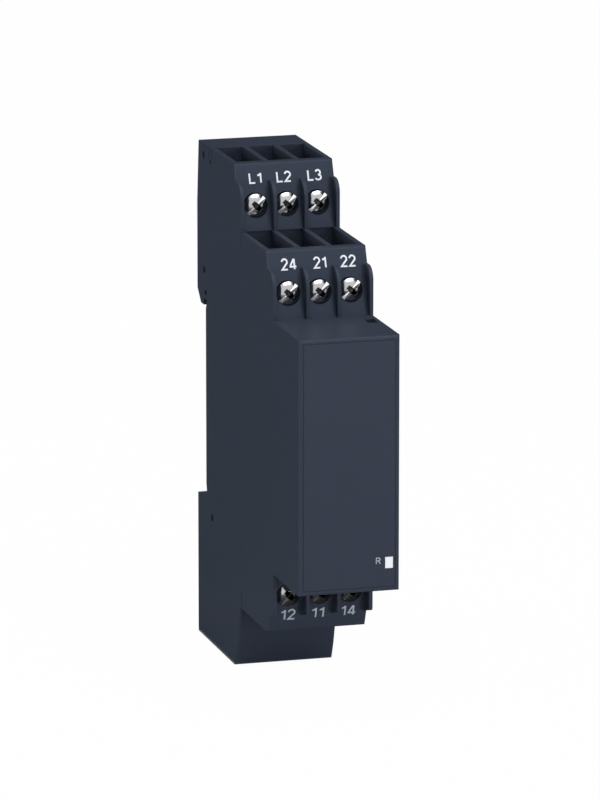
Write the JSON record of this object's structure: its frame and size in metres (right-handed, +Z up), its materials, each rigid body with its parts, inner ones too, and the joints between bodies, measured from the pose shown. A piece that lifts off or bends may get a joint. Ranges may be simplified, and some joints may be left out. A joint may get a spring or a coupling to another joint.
{
  "type": "monitoring relay",
  "caption": "Narrow stepped modular relay for a mounting rail, with screw clamps on three levels, plain front and small indicator.",
  "frame": {"origin": "centre of the rail seat: in the seat's plane, on the rail's centre line, midway across", "axes": "+X to the right seen from the front, +Y back into the rail, +Z up; the front looks to -Y"},
  "size_m": [0.018, 0.0671, 0.0907],
  "materials": {
    "case_plastic": "fine moulded grain, dark slate grey",
    "clip_plastic": "smooth black",
    "spring_steel": "drawn wire",
    "lens": "milky white",
    "can": "sleeved can",
    "film_box": "moulded box",
    "chip": "moulded black",
    "board": "green solder mask",
    "relay_box": "light moulded case",
    "resistor": "grey-blue lacquer",
    "screw_steel": "bright nickel plate",
    "cage_steel": "zinc plate",
    "bar_brass": "tinned brass"
  },
  "bodies": {
    "case": {"housing": "case_plastic", "side_cover": "case_plastic", "front_cap": "case_plastic", "clip_spring": "spring_steel", "light_pipe": "lens", "indicator_led": "lens", "smoothing_capacitor": "can", "film_capacitor": "film_box", "rectifier": "chip", "controller_chip": "chip", "main_board": "board", "display_board": "board", "upper_terminal_board": "board", "middle_terminal_board": "board", "lower_terminal_board": "board", "output_relay_1": "relay_box", "output_relay_2": "relay_box", "dropper_resistor_1": "resistor", "dropper_resistor_2": "resistor", "dropper_resistor_3": "resistor", "contact_bar_l1": "bar_brass", "contact_bar_l2": "bar_brass", "contact_bar_l3": "bar_brass", "contact_bar_24": "bar_brass", "contact_bar_21": "bar_brass", "contact_bar_22": "bar_brass", "contact_bar_12": "bar_brass", "contact_bar_11": "bar_brass", "contact_bar_14": "bar_brass"},
    "rail_clip": {"rail_clip": "clip_plastic"},
    "clamp_screw_l1": {"clamp_screw_l1": "screw_steel"},
    "clamp_screw_l2": {"clamp_screw_l2": "screw_steel"},
    "clamp_screw_l3": {"clamp_screw_l3": "screw_steel"},
    "clamp_screw_24": {"clamp_screw_24": "screw_steel"},
    "clamp_screw_21": {"clamp_screw_21": "screw_steel"},
    "clamp_screw_22": {"clamp_screw_22": "screw_steel"},
    "clamp_screw_12": {"clamp_screw_12": "screw_steel"},
    "clamp_screw_11": {"clamp_screw_11": "screw_steel"},
    "clamp_screw_14": {"clamp_screw_14": "screw_steel"},
    "clamp_cage_l1": {"clamp_cage_l1": "cage_steel"},
    "clamp_cage_l2": {"clamp_cage_l2": "cage_steel"},
    "clamp_cage_l3": {"clamp_cage_l3": "cage_steel"},
    "clamp_cage_24": {"clamp_cage_24": "cage_steel"},
    "clamp_cage_21": {"clamp_cage_21": "cage_steel"},
    "clamp_cage_22": {"clamp_cage_22": "cage_steel"},
    "clamp_cage_12": {"clamp_cage_12": "cage_steel"},
    "clamp_cage_11": {"clamp_cage_11": "cage_steel"},
    "clamp_cage_14": {"clamp_cage_14": "cage_steel"}
  },
  "joints": [
    {"name": "clamp_screw_l1_turn", "type": "hinge", "parent": "case", "child": "clamp_screw_l1", "pos_m": [-0.00572, -0.01945, 0.03885], "axis": [0, 1, 0], "range_deg": [0, 2160]},
    {"name": "clamp_cage_l1_slide", "type": "slide", "parent": "case", "child": "clamp_cage_l1", "axis": [0, -1, 0], "range_m": [0, 0.003]},
    {"name": "clamp_screw_l2_turn", "type": "hinge", "parent": "case", "child": "clamp_screw_l2", "pos_m": [-0.0001, -0.01945, 0.03885], "axis": [0, 1, 0], "range_deg": [0, 2160]},
    {"name": "clamp_cage_l2_slide", "type": "slide", "parent": "case", "child": "clamp_cage_l2", "axis": [0, -1, 0], "range_m": [0, 0.003]},
    {"name": "clamp_screw_l3_turn", "type": "hinge", "parent": "case", "child": "clamp_screw_l3", "pos_m": [0.00552, -0.01945, 0.03885], "axis": [0, 1, 0], "range_deg": [0, 2160]},
    {"name": "clamp_cage_l3_slide", "type": "slide", "parent": "case", "child": "clamp_cage_l3", "axis": [0, -1, 0], "range_m": [0, 0.003]},
    {"name": "clamp_screw_24_turn", "type": "hinge", "parent": "case", "child": "clamp_screw_24", "pos_m": [-0.00572, -0.0404, 0.0274], "axis": [0, 1, 0], "range_deg": [0, 2160]},
    {"name": "clamp_cage_24_slide", "type": "slide", "parent": "case", "child": "clamp_cage_24", "axis": [0, -1, 0], "range_m": [0, 0.003]},
    {"name": "clamp_screw_21_turn", "type": "hinge", "parent": "case", "child": "clamp_screw_21", "pos_m": [-0.0001, -0.0404, 0.0274], "axis": [0, 1, 0], "range_deg": [0, 2160]},
    {"name": "clamp_cage_21_slide", "type": "slide", "parent": "case", "child": "clamp_cage_21", "axis": [0, -1, 0], "range_m": [0, 0.003]},
    {"name": "clamp_screw_22_turn", "type": "hinge", "parent": "case", "child": "clamp_screw_22", "pos_m": [0.00552, -0.0404, 0.0274], "axis": [0, 1, 0], "range_deg": [0, 2160]},
    {"name": "clamp_cage_22_slide", "type": "slide", "parent": "case", "child": "clamp_cage_22", "axis": [0, -1, 0], "range_m": [0, 0.003]},
    {"name": "clamp_screw_12_turn", "type": "hinge", "parent": "case", "child": "clamp_screw_12", "pos_m": [-0.00572, -0.0404, -0.0263], "axis": [0, 1, 0], "range_deg": [0, 2160]},
    {"name": "clamp_cage_12_slide", "type": "slide", "parent": "case", "child": "clamp_cage_12", "axis": [0, -1, 0], "range_m": [0, 0.003]},
    {"name": "clamp_screw_11_turn", "type": "hinge", "parent": "case", "child": "clamp_screw_11", "pos_m": [-0.0001, -0.0404, -0.0263], "axis": [0, 1, 0], "range_deg": [0, 2160]},
    {"name": "clamp_cage_11_slide", "type": "slide", "parent": "case", "child": "clamp_cage_11", "axis": [0, -1, 0], "range_m": [0, 0.003]},
    {"name": "clamp_screw_14_turn", "type": "hinge", "parent": "case", "child": "clamp_screw_14", "pos_m": [0.00552, -0.0404, -0.0263], "axis": [0, 1, 0], "range_deg": [0, 2160]},
    {"name": "clamp_cage_14_slide", "type": "slide", "parent": "case", "child": "clamp_cage_14", "axis": [0, -1, 0], "range_m": [0, 0.003]},
    {"name": "rail_clip_slide", "type": "slide", "parent": "case", "child": "rail_clip", "axis": [0, 0, -1], "range_m": [0, 0.004], "stiffness_N_per_m": 1500, "deforming": ["clip_spring"]}
  ],
  "couplings": [
    {"joint": "clamp_screw_l1_turn", "follows": "clamp_cage_l1_slide", "rad_per_m": 12566},
    {"joint": "clamp_screw_l2_turn", "follows": "clamp_cage_l2_slide", "rad_per_m": 12566},
    {"joint": "clamp_screw_l3_turn", "follows": "clamp_cage_l3_slide", "rad_per_m": 12566},
    {"joint": "clamp_screw_24_turn", "follows": "clamp_cage_24_slide", "rad_per_m": 12566},
    {"joint": "clamp_screw_21_turn", "follows": "clamp_cage_21_slide", "rad_per_m": 12566},
    {"joint": "clamp_screw_22_turn", "follows": "clamp_cage_22_slide", "rad_per_m": 12566},
    {"joint": "clamp_screw_12_turn", "follows": "clamp_cage_12_slide", "rad_per_m": 12566},
    {"joint": "clamp_screw_11_turn", "follows": "clamp_cage_11_slide", "rad_per_m": 12566},
    {"joint": "clamp_screw_14_turn", "follows": "clamp_cage_14_slide", "rad_per_m": 12566}
  ]
}
